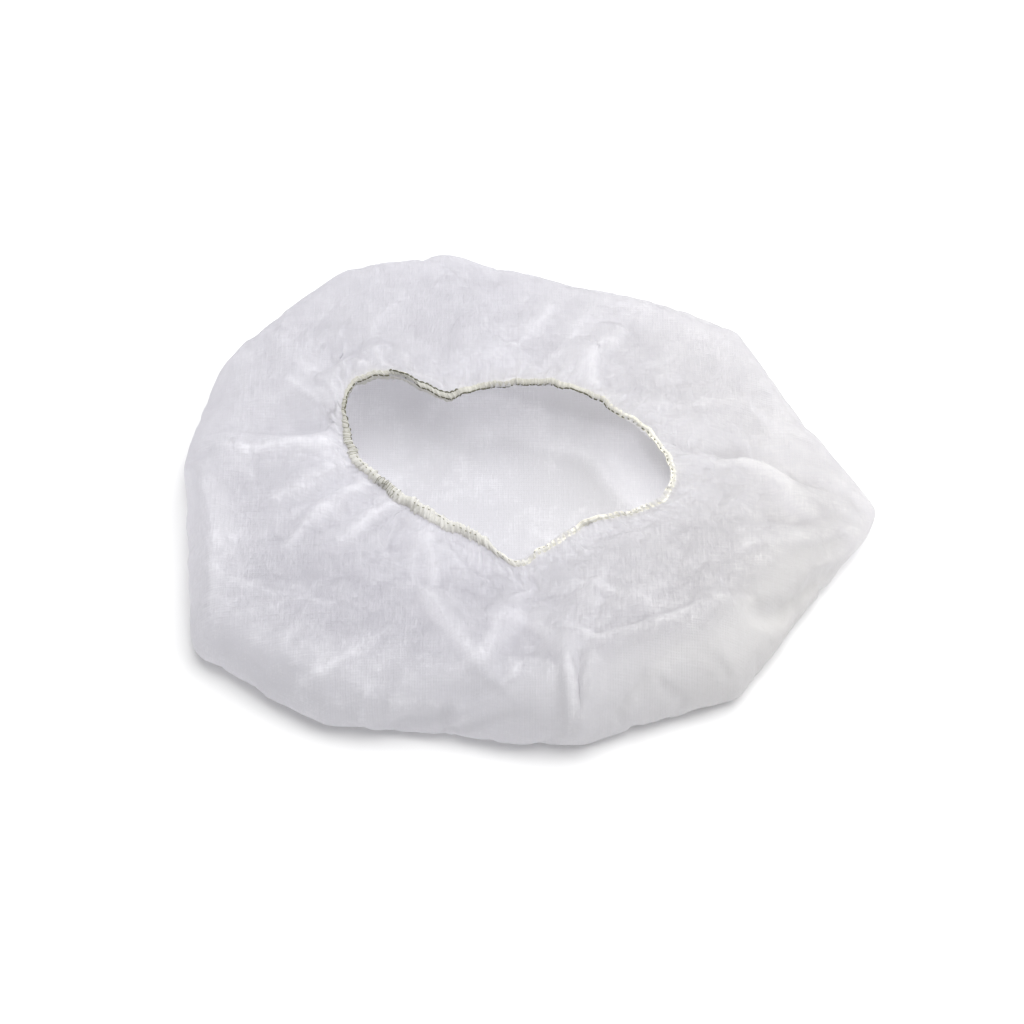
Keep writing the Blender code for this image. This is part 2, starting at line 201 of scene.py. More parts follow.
# The sharper creases of the thin cloth, each along a path of angles and places. Lift is its height in
# millimetres, up for a ridge and down for a valley. Near is how far it spreads to its left side, seen along
# the path from outside the cap, and far to its right side, in millimetres.
Crease = namedtuple("Crease", "lift near far path")
CREASE_STRENGTH = 1.9
CREASES = (
    # The long crease to the left
    Crease(1.6, 4, 4, ((172, 1.55), (176, 2.04), (176.5, 2.28), (174.5, 2.56), (171.5, 2.82), (166, 3.0))),
    Crease(-0.9, 7, 5, ((170.5, 1.92), (170.5, 2.26), (167, 2.58), (160, 2.95))),
    Crease(0.8, 2.5, 3, ((154, 2.3), (154, 2.6), (153, 2.95))),
    Crease(0.7, 2.5, 3, ((133.5, 2.92), (129, 2.94), (124, 2.97))),
    Crease(-1.0, 4, 5, ((122, 2.78), (127, 2.7), (138, 2.62), (149, 2.6), (147, 2.95))),
    # The soft corner down the left edge
    Crease(1.2, 8, 8, ((179, 1.82), (194, 1.88), (206, 1.80), (215, 1.50))),
    # Gathers to the left front
    Crease(1.2, 3, 5, ((177, 3.0), (183, 2.74), (188.5, 2.50), (190.5, 2.20))),
    Crease(1.3, 4, 4, ((192, 3.0), (197.5, 2.72), (202.5, 2.42), (206, 2.25))),
    Crease(1.2, 4, 3, ((210, 3.0), (208.5, 2.92), (211, 2.74), (212, 2.46))),
    Crease(-1.0, 4, 4, ((193, 3.0), (195, 2.92), (197, 2.78), (198, 2.60))),
    Crease(-1.0, 4, 4, ((213, 3.0), (214, 2.92), (214, 2.80), (214, 2.62))),
    Crease(-1.2, 4, 5, ((217, 3.0), (220.5, 2.88), (224.5, 2.70))),
    Crease(0.8, 3, 3, ((231, 3.0), (237, 2.82), (241, 2.70), (243, 2.5))),
    Crease(0.7, 4, 4, ((228, 3.0), (233.5, 2.70), (238, 2.5))),
    # The tuck below the front of the mouth, and the arch to its right
    Crease(1.9, 8, 3, ((240, 2.50), (244, 2.38), (251, 2.18), (257, 1.96), (263.5, 1.74))),
    Crease(1.1, 2.5, 5, ((263, 1.74), (266, 1.86), (267, 2.0))),
    Crease(1.2, 5, 2.5, ((259, 1.95), (261, 2.15), (263.5, 2.32), (270.5, 2.44), (275.5, 2.30), (278.5, 1.98))),
    Crease(-0.7, 7, 7, ((262, 2.02), (268, 2.14), (274.5, 2.04), (277, 1.85))),
    # The low front wall
    Crease(-1.4, 8, 9, ((243, 1.33), (252, 1.42), (258.5, 1.66), (266, 1.78), (271, 1.74))),
    Crease(-1.0, 5, 6, ((252, 1.22), (258, 1.36), (264, 1.52), (272, 1.60))),
    Crease(-0.8, 5, 6, ((284, 1.4), (291, 1.6), (299, 1.75), (308, 1.85))),
    Crease(1.2, 9, 7, ((243, 1.60), (250.5, 1.58), (257.5, 1.60))),
    Crease(-0.9, 4, 4, ((246.5, 1.68), (254, 1.80), (260.5, 1.88))),
    Crease(0.9, 3, 3, ((240, 1.34), (239.5, 1.70))),
    Crease(1.4, 4, 2.5, ((278, 2.0), (277, 1.64), (276.5, 1.25))),
    Crease(1.2, 2.5, 4, ((282.5, 1.85), (280, 1.62), (278.5, 1.30))),
    # The edge of the cover above the front wall
    Crease(1.3, 3, 9, ((279, 2.38), (286, 2.05), (292, 2.03), (306, 2.02), (319, 1.92), (326, 1.8))),
    Crease(0.8, 6, 6, ((291, 2.56), (299, 2.30), (305.5, 2.14), (316, 2.05))),
    # Creases that meet at the right corner
    Crease(1.9, 3.5, 6, ((1, 2.75), (0, 2.34), (356.5, 2.12), (352, 1.92), (348, 1.68))),
    Crease(-1.0, 7, 6, ((7.5, 2.56), (7, 2.34), (7.5, 2.10))),
    Crease(1.0, 2.5, 4, ((331.5, 2.14), (337.5, 2.00), (341.5, 1.86), (347, 1.66))),
    Crease(-1.6, 4, 4, ((344, 1.66), (346.5, 1.60), (349, 1.58))),
    Crease(0.8, 5, 5, ((333, 1.94), (334, 1.76), (337, 1.56))),
    Crease(-1.1, 6, 6, ((318, 1.86), (321, 1.80), (325, 1.76))),
    Crease(-1.0, 7, 7, ((316, 1.76), (325, 1.50), (333.5, 1.44), (347, 1.36))),
    # Fine crinkles in the right corner
    Crease(0.5, 1.8, 2.5, ((350.5, 1.42), (349, 1.62), (343, 1.78), (335, 1.88))),
    Crease(-0.5, 2, 2, ((351, 1.45), (351.5, 1.66), (349, 1.84), (343, 2.05))),
    Crease(0.6, 2.2, 1.8, ((352, 1.44), (353.5, 1.66), (354.5, 1.86), (352, 2.2))),
    Crease(-0.5, 2, 2, ((353, 1.42), (356, 1.62), (358.5, 1.84), (0, 2.1))),
    Crease(0.5, 1.8, 2.2, ((354, 1.4), (359, 1.6), (2.5, 1.8), (4, 2.05))),
    Crease(0.4, 1.8, 1.8, ((349, 1.36), (344, 1.48), (337, 1.6), (329, 1.7))),
    Crease(-0.5, 2.5, 2, ((348, 1.3), (341, 1.36), (333, 1.46), (325, 1.6))),
    Crease(0.4, 2, 2, ((347, 1.2), (338, 1.24), (330, 1.32), (322, 1.36))),
    # Fine crinkles on the back and the left
    Crease(0.5, 2, 3, ((118, 2.2), (124, 2.42), (128, 2.68), (131, 2.9))),
    Crease(-0.5, 3, 3, ((100, 2.3), (108, 2.5), (112, 2.75), (114, 2.95))),
    Crease(0.4, 2, 2, ((72, 2.1), (74, 2.4), (76, 2.7), (80, 2.95))),
    Crease(-0.4, 2, 3, ((30, 2.2), (34, 2.45), (40, 2.7), (46, 2.95))),
    Crease(0.4, 2, 2, ((22, 2.1), (25, 2.4), (30, 2.7), (38, 2.95))),
    Crease(0.5, 3, 3, ((200, 1.7), (207, 1.95), (216, 2.1), (226, 2.2))),
    Crease(-0.6, 5, 4, ((205, 1.9), (216, 2.3), (222, 2.5))),
    Crease(0.5, 3, 4, ((228, 1.5), (232, 1.8), (237, 2.1), (240, 2.35))),
    # The bend behind the right end of the mouth
    Crease(-1.2, 6, 7, ((33, 3.0), (14, 2.94), (9.5, 2.54), (10.5, 2.06))),
    # Small creases behind the mouth
    Crease(1.3, 3, 3, ((63.5, 2.50), (64, 2.68), (61, 2.88), (53, 2.98))),
    Crease(-0.9, 3, 3, ((58, 2.55), (57, 2.75), (50, 2.9))),
    Crease(0.7, 3, 3, ((61.5, 2.25), (61, 2.40), (60.5, 2.70))),
    Crease(0.7, 2.5, 3, ((91, 2.72), (89.5, 2.64), (84, 2.34), (80, 1.98))),
    # A crease across the middle of the crown, seen inside the cap
    Crease(-0.6, 3, 4, ((51, 0.43), (32, 0.37), (16, 0.37), (0, 0.41))),
    Crease(-0.4, 4, 4, ((338, 0.5), (318, 0.42), (286, 0.44))),
)


def smooth(share):
    """A rise from 0 to 1 that starts and ends level."""
    share = np.clip(share, 0, 1)
    return share * share * (3 - 2 * share)


def unit(vectors):
    return vectors / np.linalg.norm(vectors, axis=-1, keepdims=True)


def around(rows, column, angles):
    """A table's column at some angles, in degrees, on a smooth closed curve through its rows."""
    knots = np.array([row.angle for row in rows], float)
    values = np.array([getattr(row, column) for row in rows], float)
    knots = np.concatenate([knots[-2:] - 360, knots, knots[:2] + 360])
    values = np.concatenate([values[-2:], values, values[:2]])
    angles = np.mod(angles, 360)
    after = np.searchsorted(knots, angles, side="right")
    a0, a1, a2, a3 = (knots[after + step] for step in (-2, -1, 0, 1))
    v0, v1, v2, v3 = (values[after + step] for step in (-2, -1, 0, 1))
    width = a2 - a1
    share = (angles - a1) / width
    leaving = (v2 - v0) / (a2 - a0) * width
    arriving = (v3 - v1) / (a3 - a1) * width
    ends = v1 * (1 - smooth(share)) + v2 * smooth(share)
    return ends + leaving * share * (1 - share) ** 2 - arriving * share**2 * (1 - share)


def ring_plan(rows, length, width, angles):
    """The plan of a table's ring at some angles, in a box of that length and width."""

    def bare(turned):
        reach = around(rows, "reach", turned)
        return np.stack([reach * np.cos(np.radians(turned)), reach * np.sin(np.radians(turned))], -1)

    loop = bare(np.arange(360))
    low, high = loop.min(0), loop.max(0)
    flat = ((bare(angles) - low) / (high - low) - 0.5) * (length, width)
    return np.concatenate([flat, np.zeros((len(flat), 1))], 1)


def outline(angles):
    """The plan of the cap's outline, straight between its corners, at some angles in degrees."""
    turns = np.radians([corner.angle for corner in CORNERS] + [CORNERS[0].angle + 360])
    reach = np.array([corner.reach for corner in CORNERS] + [CORNERS[0].reach]) / 1000
    knots = np.stack([reach * np.cos(turns), reach * np.sin(turns)], -1)
    steps = knots[1:] - knots[:-1]
    over = (knots[:-1, 0] * steps[:, 1] - knots[:-1, 1] * steps[:, 0])
    total = 0
    for aside in np.linspace(-1, 1, 7) * CORNER_ROUNDING:
        turned = np.radians(np.mod(angles + aside - CORNERS[0].angle, 360) + CORNERS[0].angle)
        side = np.clip(np.searchsorted(turns, turned, side="right") - 1, 0, len(steps) - 1)
        total = total + over[side] / (np.cos(turned) * steps[side, 1] - np.sin(turned) * steps[side, 0]) / 7
    flat = np.radians(angles)
    return np.stack([total * np.cos(flat), total * np.sin(flat), flat * 0], -1)


def bare_cloth(places, angles):
    """The smooth cap with no folds: a ring for each place and a column for each angle."""
    outer = outline(angles)
    foot = outer * (1 - FOOT_INSET / np.linalg.norm(outer, axis=1))[:, None]
    shoulder = outer * (1 - around(PLAN, "turn", angles))[:, None]
    shoulder[:, 2] = around(PLAN, "shoulder", angles) * RIM_HEIGHT
    rim = ring_plan(MOUTH, MOUTH_LENGTH, MOUTH_WIDTH, angles) + MOUTH_SHIFT
    lean = np.radians(around(MOUTH, "lean", angles))[:, None]
    hem = unit(rim - outer) * np.cos(lean) + np.array((0, 0, 1)) * np.sin(lean)
    rim[:, 2] = around(MOUTH, "height", angles) * RIM_HEIGHT
    root = rim - hem * HEM_WIDTH
    rings = []
    for place in places:
        if place <= SIDE:
            ring = foot * (place - FLOOR)
        elif place <= COVER:
            share = place - SIDE
            if share < BELLY_PLACE:
                turn = (share / BELLY_PLACE - 1) * math.pi / 2
                ring = foot + (outer - foot) * math.cos(turn)
                ring[:, 2] = BELLY_HEIGHT * (1 + math.sin(turn))
            else:
                turn = (share - BELLY_PLACE) / (1 - BELLY_PLACE) * math.pi / 2
                ring = shoulder + (outer - shoulder) * math.cos(turn)
                ring[:, 2] = BELLY_HEIGHT + (shoulder[:, 2] - BELLY_HEIGHT) * math.sin(turn)
        elif place <= HEM:
            ring = shoulder + (root - shoulder) * (place - COVER)
            ring[:, 2] = shoulder[:, 2] + (root[:, 2] - shoulder[:, 2]) * smooth(place - COVER)
        else:
            ring = root + (rim - root) * (place - HEM)
        rings.append(ring)
    return np.array(rings)


def outward(rings):
    """The normals of a grid of rings, away from the hollow of the cap."""
    across = np.roll(rings, -1, 1) - np.roll(rings, 1, 1)
    along = np.concatenate([rings[1:], rings[-1:]]) - np.concatenate([rings[:1], rings[:-1]])
    return unit(np.cross(across, along))


def spot_on_cloth(angle, place):
    return bare_cloth([place], np.array([float(angle)]))[0, 0]


def to_path(spots, path):
    """How far some spots are from a path of points, the share of it where each is nearest, and the step."""
    best = np.full(spots.shape[:-1], 1e9)
    share = np.zeros_like(best)
    step_at = np.zeros(best.shape, int)
    for index in range(len(path) - 1):
        start, step = path[index], path[index + 1] - path[index]
        along = np.clip((spots - start) @ step / (step @ step), 0, 1)
        away = np.linalg.norm(spots - start - along[..., None] * step, axis=-1)
        nearer = away < best
        best = np.where(nearer, away, best)
        share = np.where(nearer, (index + along) / (len(path) - 1), share)
        step_at = np.where(nearer, index, step_at)
    return best, share, step_at


def fold_lift(rings):
    """How far the broad folds raise the cloth, by its place in plan."""
    lift = np.zeros(rings.shape[:2])
    for fold in FOLDS:
        start = spot_on_cloth(fold.start, fold.start_place)[:2]
        bend = spot_on_cloth(fold.bend, fold.bend_place)[:2]
        end = spot_on_cloth(fold.end, fold.end_place)[:2]
        pull = bend * 2 - (start + end) / 2
        shares = np.linspace(0, 1, 9)[:, None]
        path = start * (1 - shares) ** 2 + pull * 2 * shares * (1 - shares) + end * shares**2
        away, share, _ = to_path(rings[..., :2], path)
        away /= fold.spread * RIM_HEIGHT
        lift += fold.lift * smooth(share * 4) * smooth((1 - share) * 2) * np.exp(-away * away) * (away < 2.5)
    return lift * RIM_HEIGHT


def finer(grid, spots, closed):
    """The rows of a grid at fractional spots, on smooth curves through the rows that it has."""
    low = np.floor(spots).astype(int)
    share = (spots - low)[:, None, None]
    rows = []
    for step in (-1, 0, 1, 2):
        rows.append(grid[(low + step) % len(grid) if closed else np.clip(low + step, 0, len(grid) - 1)])
    a, b, c, d = rows
    return b + share / 2 * (c - a + share * (2 * a - 5 * b + 4 * c - d + share * (3 * b - a - 3 * c + d)))


def crease_lift(rings, normals):
    """How far the sharp creases raise the cloth, and a mark near them for its colour: up to 1 on ridges, where it is
    doubled, and -1 in valleys, where it gets painted shade.
    """
    lift, crease_doubling_and_painted_shade = np.zeros(rings.shape[:2]), np.zeros(rings.shape[:2])
    for crease in CREASES:
        knots = np.array([spot_on_cloth(*pair) for pair in crease.path])[:, None, :]
        path = finer(knots, np.linspace(0, len(knots) - 1, 6 * len(knots)), False)[:, 0]
        margin = 4 * max(crease.near, crease.far) / 1000
        close = np.all((rings > path.min(0) - margin) & (rings < path.max(0) + margin), axis=-1)
        spots = rings[close]
        away, share, step_at = to_path(spots, path)
        side = np.cross(path[step_at + 1] - path[step_at], spots - path[step_at])
        spread = np.where((side * normals[close]).sum(-1) > 0, crease.near, crease.far) / 1000
        crest = spread * 0.22
        fall = np.exp((crest - np.sqrt(away**2 + crest**2)) / spread)
        ends = smooth(share * 3.5 + 0.25) * smooth((1 - share) * 3.5)
        lift[close] += CREASE_STRENGTH * crease.lift / 1000 * ends * fall
        narrow = 0.0021 if crease.lift > 0 else max(0.0020, crease.near * 0.0005)
        crease_doubling_and_painted_shade[close] += crease.lift * min(1, 5 / crease.near) * ends * np.exp(-((away / narrow) ** 2))
    return lift, np.tanh(crease_doubling_and_painted_shade)


def gather_lift(places, angles):
    """The gathers that the elastic draws into the cloth: broad ones, and fine ones beside the hem."""
    turn = np.radians(angles)
    crowd = GATHERS * turn + 0.7 * np.sin(3 * turn + 1) + 0.5 * np.sin(5 * turn + 2)
    strength = 0.75 + 0.25 * np.sin(4 * turn + 0.6)
    rings = []
    for place in places:
        broad = GATHER_HEIGHT * strength * np.sin(crowd) * smooth((place - COVER) * 2 - 1)
        medium = MEDIUM_GATHER * np.sin(2.9 * crowd + 1.7 * np.sin(7 * turn)) * smooth((place - COVER) * 3.4 - 2.4)
        fine = FINE_GATHER * np.sin(5.9 * crowd + 2.3 * np.sin(11 * turn)) * smooth((place - COVER) * 7 - 6)
        rings.append(broad + medium + fine)
    return np.array(rings)


def folded_cloth(places, angles):
    """The cloth with its broad folds and gathers, as the CAD crown has them."""
    places = np.array(places, float)
    rings = bare_cloth(places, angles)
    normals = outward(rings)
    turn = np.radians(angles)
    risen = smooth((places - SIDE) * 2 - 0.2)[:, None]
    hemmed = (1 - 0.7 * smooth((places - COVER) * 5 - 4))[:, None]
    lift = (fold_lift(rings) * risen + gather_lift(places, angles)) * hemmed
    rings = rings + normals * np.where(places < SIDE, 0, 1)[:, None, None] * lift[..., None]
    for index, place in enumerate(places):
        if place < SIDE:
            wave = 1 + np.sin(RIPPLES_ROUND * turn + 5 * place) * np.cos(2 * turn - 3 * place)
            rings[index, :, 2] += RIPPLE_HEIGHT * wave / 2 * smooth(6 * place - 0.6) * smooth(4 * (1 - place))
    return rings


def places_of(floor, side, cover, hem):
    """The places of the cloth's rings, from near the middle of the crown to the hem's edge."""
    return np.concatenate([
        np.linspace(0.1, SIDE, floor, endpoint=False),
        np.linspace(SIDE, COVER, side, endpoint=False),
        np.linspace(COVER, HEM, cover, endpoint=False),
        np.linspace(HEM, EDGE, hem),
    ])


def ring_faces(rings, columns, first=0):
    """The faces between rings of points, each joined to the next."""
    a, i = np.meshgrid(np.arange(rings - 1), np.arange(columns), indexing="ij")
    j = (i + 1) % columns
    corners = (a * columns + i, a * columns + j, (a + 1) * columns + j, (a + 1) * columns + i)
    return (np.stack(corners, -1).reshape(-1, 4) + first).tolist()


def closed_faces(sides, columns):
    """The faces of a closed rope, with a ring of points for each of its sides. The last joins the first."""
    return (np.array(ring_faces(sides + 1, columns)) % (sides * columns)).tolist()


def add_mesh(name, spots, faces):
    mesh = bpy.data.meshes.new(name)
    mesh.from_pydata(np.reshape(spots, (-1, 3)).tolist(), [], faces)
    mesh.update()
    mesh.shade_smooth()
    thing = bpy.data.objects.new(name, mesh)
    bpy.context.scene.collection.objects.link(thing)
    return thing


# The crumple of the cloth is a cloth simulation on a coarser grid. The cloth grows a little everywhere, and more
# round the mouth, where the elastic draws it in. It has no room to grow in, so it buckles.
SIM_COLUMNS = 240
SIM_FRAMES = 24
MOUTH_EXCESS = 0.12
CLOTH_EXCESS = 0.025
CRUMPLE_LIMIT = 0.0035
START_BUMPS = 0.0003


def crumple():
    """How the simulated cloth moves from its smooth shape: its places, and a grid of moves."""
    places = places_of(6, 13, 26, 2)
    angles = np.arange(SIM_COLUMNS) * 360 / SIM_COLUMNS
    start = folded_cloth(places, angles)
    seed = np.random.default_rng(11).normal(size=start.shape[:2])
    seed = (seed + np.roll(seed, 1, 0) + np.roll(seed, 1, 1) + np.roll(seed, (1, 1), (0, 1))) / 4
    free = smooth((places - 1.1) * 3) * smooth((HEM - places) * 12)
    start += outward(start) * (seed * free[:, None] * START_BUMPS)[..., None]
    cloth = add_mesh("crumpling", start, ring_faces(len(places), SIM_COLUMNS))
    held = cloth.vertex_groups.new(name="held")
    calm = cloth.vertex_groups.new(name="calm")
    for index, place in enumerate(places):
        ring = list(range(index * SIM_COLUMNS, (index + 1) * SIM_COLUMNS))
        grip = float(1 - smooth((place - 1.05) * 5) * (place < HEM - 0.001))
        if grip > 0:
            held.add(ring, grip, "REPLACE")
        excess = CLOTH_EXCESS + (MOUTH_EXCESS - CLOTH_EXCESS) * float(smooth((place - 2.3) * 1.4))
        calm.add(ring, 1 - excess / MOUTH_EXCESS, "REPLACE")
    modifier = cloth.modifiers.new("crumple", "CLOTH")
    settings = modifier.settings
    settings.quality = 7
    settings.mass = 0.1
    settings.tension_stiffness = settings.compression_stiffness = 12
    settings.shear_stiffness = 6
    settings.bending_stiffness = 0.25
    settings.air_damping = 3
    settings.effector_weights.gravity = 0
    settings.vertex_group_mass = "held"
    settings.vertex_group_shrink = "calm"
    settings.shrink_min, settings.shrink_max = -MOUTH_EXCESS, 0
    modifier.collision_settings.use_collision = False
    modifier.point_cache.frame_start, modifier.point_cache.frame_end = 1, SIM_FRAMES
    for number in range(1, SIM_FRAMES + 1):
        bpy.context.scene.frame_set(number)
    shape = cloth.evaluated_get(bpy.context.evaluated_depsgraph_get())
    ended = np.empty(len(shape.data.vertices) * 3)
    shape.data.vertices.foreach_get("co", ended)
    bpy.context.scene.frame_set(1)
    mesh = cloth.data
    bpy.data.objects.remove(cloth)
    bpy.data.meshes.remove(mesh)
    moves = ended.reshape(start.shape) - start
    size = np.linalg.norm(moves, axis=-1, keepdims=True)
    return places, moves / np.maximum(size, 1e-9) * CRUMPLE_LIMIT * np.tanh(size / CRUMPLE_LIMIT)


crown_places = places_of(FLOOR_RINGS, SIDE_RINGS, COVER_RINGS, HEM_RINGS)
crown_angles = np.arange(COLUMNS) * 360 / COLUMNS
crown_rings = folded_cloth(crown_places, crown_angles)
sim_places, sim_moves = crumple()
moves = finer(sim_moves, np.interp(crown_places, sim_places, np.arange(len(sim_places))), False)
moves = finer(moves.transpose(1, 0, 2), np.arange(COLUMNS) * SIM_COLUMNS / COLUMNS, True).transpose(1, 0, 2)
crown_rings = crown_rings + moves
crown_normals = outward(crown_rings)
sharp, crease_doubling_and_painted_shade = crease_lift(bare_cloth(crown_places, crown_angles), crown_normals)
sharp *= (1 - 0.7 * smooth((crown_places - COVER) * 5 - 4))[:, None]
crown_rings = crown_rings + crown_normals * sharp[..., None]
# The edge inside the hem is puckered between the stitches
STITCH_PITCH = 0.0029
EDGE_PUCKER = 0.0006
edge_run = np.linalg.norm(np.roll(crown_rings[-1], -1, 0) - crown_rings[-1], axis=1).cumsum()
pucker = EDGE_PUCKER * np.sin(edge_run / edge_run[-1] * 2 * math.pi * round(edge_run[-1] / STITCH_PITCH))
crown_rings[-2:] += crown_normals[-2:] * (pucker * np.array([[0.4], [1]]))[..., None]
crown_rings[-3:] -= crown_normals[-3:] * np.array((0.0002, 0.0006, 0.0008))[:, None, None]
crown_rings[..., 2] = np.maximum(crown_rings[..., 2], FLOOR_LIFT)
middle = len(crown_places) * COLUMNS
crown_faces = ring_faces(len(crown_places), COLUMNS)
crown_faces += [(middle, (i + 1) % COLUMNS, i) for i in range(COLUMNS)]
crown_spots = np.concatenate([crown_rings.reshape(-1, 3), [(0, 0, FLOOR_LIFT)]])
crown_cloth = add_mesh("crown_cloth", crown_spots, crown_faces)

# Which way the smooth cloth faces, so that its grain runs level along it everywhere
facing = np.abs(outward(bare_cloth(crown_places, crown_angles))).reshape(-1, 3)
facing = np.concatenate([facing, [(0, 0, 1)]])
grain = crown_cloth.data.attributes.new("facing", "FLOAT_VECTOR", "POINT")
grain.data.foreach_set("vector", facing.reshape(-1))


def toward(angle):
    """1 in the cloth's columns at an angle, down to -1 in those opposite."""
    return np.cos(np.radians(crown_angles - angle))


def add_values(thing, name, values):
    """A number for each point of a piece, which its material reads."""
    layer = thing.data.attributes.new(name, "FLOAT", "POINT")
    layer.data.foreach_set("value", np.ravel(values))


# Layers and painted light: whiter where the cloth is doubled on a crease's ridge, painted light in a patch on the
# front of the cover, and painted shade in the creases' valleys and on the right of the front wall.
# Lying and painted shade: darker in painted shade and less see-through where the cloth lies on the table inside the
# cap, and painted shade on the front wall and its valleys, the left front and the left of the cover. Below the back
# of the mouth and at its right end the floor gets painted light, which lifts that painted shade.
wall = (smooth((crown_places - 0.95) * 8) * smooth((2.12 - crown_places) * 2.5))[:, None]
# Painted shade on the right of the front wall
right_front_painted_shade = wall * smooth(2.4 * toward(309) - 1.4)
# A patch of painted light on the front of the cover
front_painted_light = np.exp(-(((crown_places - 2.4) / 0.25) ** 2))[:, None] * np.exp(-(((crown_angles - 300) / 15) ** 2))
add_values(crown_cloth, "layers_and_painted_light", np.append((crease_doubling_and_painted_shade - 1.2 * right_front_painted_shade + 0.5 * front_painted_light).reshape(-1), 0))
# Painted shade on the front wall, deeper on its right and in its valleys, on the left front and on the left of the
# cover
front_and_left_painted_shade = wall * smooth((toward(278) - 0.02) * 1.3) * (0.6 + 0.45 * right_front_painted_shade + 0.5 * np.maximum(-crease_doubling_and_painted_shade, 0))
front_and_left_painted_shade += 0.3 * wall * smooth(2.2 * toward(224) - 1.2)
front_and_left_painted_shade += 0.2 * smooth((crown_places - 1.6) * 2)[:, None] * smooth(2.5 * toward(165) - 1.3)
# Painted light on the floor below the back of the mouth, more at its right end, which takes off some painted shade
floor_painted_light = smooth(1.9 - np.abs(crown_places - 0.43) / 0.08)[:, None] * smooth(toward(60) * 1.6 + 0.16)
floor_painted_light = floor_painted_light * (0.45 + 0.4 * smooth(2.2 * toward(5) - 1.1))
# Painted shade on the floor inside the cap, and on the front and the left, less where the floor has painted light
lying_and_painted_shade = np.maximum(smooth((1.0 - crown_places) * 20)[:, None] * (1 - floor_painted_light), front_and_left_painted_shade)
add_values(crown_cloth, "lying_and_painted_shade", np.append(lying_and_painted_shade.reshape(-1), 1))


class Wire:
    """One output of a material's nodes. Sums on wires add the nodes that work them out."""

    def __init__(self, tree, output):
        self.tree, self.output = tree, output

    def node(self, kind, settings=None, inputs=None, output=0):
        """The output of a new node. Its settings are set first, then its inputs, by value or wire."""
        node = self.tree.nodes.new(kind)
        for name, value in (settings or {}).items():
            setattr(node, name, value)
        for name, value in (inputs or {}).items():
            if isinstance(value, Wire):
                self.tree.links.new(value.output, node.inputs[name])
            else:
                node.inputs[name].default_value = value
        return Wire(self.tree, node.outputs[output])

    def maths(self, operation, *values):
        return self.node("ShaderNodeMath", {"operation": operation}, dict(enumerate(values)))

    def __add__(self, other):
        return self.maths("ADD", self, other)

    __radd__ = __add__

    def __sub__(self, other):
        return self.maths("SUBTRACT", self, other)

    def __rsub__(self, other):
        return self.maths("SUBTRACT", other, self)

    def __mul__(self, other):
        return self.maths("MULTIPLY", self, other)

    __rmul__ = __mul__

    def sine(self):
        return self.maths("SINE", self)

    def between(self, low, high):
        """A number from 0 to 1 as this goes from low to high."""
        return self.node("ShaderNodeMapRange", None, {"Value": self, "From Min": low, "From Max": high})

    def blend(self, low, high):
        """A colour from low to high as this goes from 0 to 1."""
        inputs = {0: self, 6: low, 7: high}
        return self.node("ShaderNodeMix", {"data_type": "RGBA"}, inputs, 2)

    def noise(self, scale, detail=2, roughness=0.5, stretch=None):
        """Noise over this vector, finer along an axis where stretch is larger."""
        spots = self
        if stretch:
            spots = self.node("ShaderNodeMapping", None, {"Vector": self, "Scale": stretch})
        inputs = {"Vector": spots, "Scale": scale, "Detail": detail, "Roughness": roughness}
        return self.node("ShaderNodeTexNoise", None, inputs)


def new_material(name):
    """A material with a Principled shader, and the wire of its object coordinates."""
    material = bpy.data.materials.new(name)
    material.use_nodes = True
    tree = material.node_tree
    shader = tree.nodes["Principled BSDF"]
    spots = Wire(tree, None).node("ShaderNodeTexCoord", output=3)
    return material, shader, spots


def finish_surface(shader, colour, roughness, sheen, height, strength, distance):
    """A shader's colour, roughness and sheen, and its bump by a height, which is returned."""
    links = colour.tree.links
    links.new(colour.output, shader.inputs["Base Color"])
    shader.inputs["Roughness"].default_value = roughness
    shader.inputs["Sheen Weight"].default_value = sheen
    bump = height.node("ShaderNodeBump", None, {"Strength": strength, "Distance": distance, "Height": height})
    links.new(bump.output, shader.inputs["Normal"])
    return bump


def let_through(shader, bump, tint, share):
    """A share of the light goes through the cloth and takes a tint."""
    tree = bump.tree
    through = bump.node("ShaderNodeBsdfTranslucent", None, {"Color": tint, "Normal": bump})
    mixed = bump.node("ShaderNodeMixShader", None, {0: share, 1: Wire(tree, shader.outputs[0]), 2: through})
    tree.links.new(mixed.output, tree.nodes["Material Output"].inputs["Surface"])


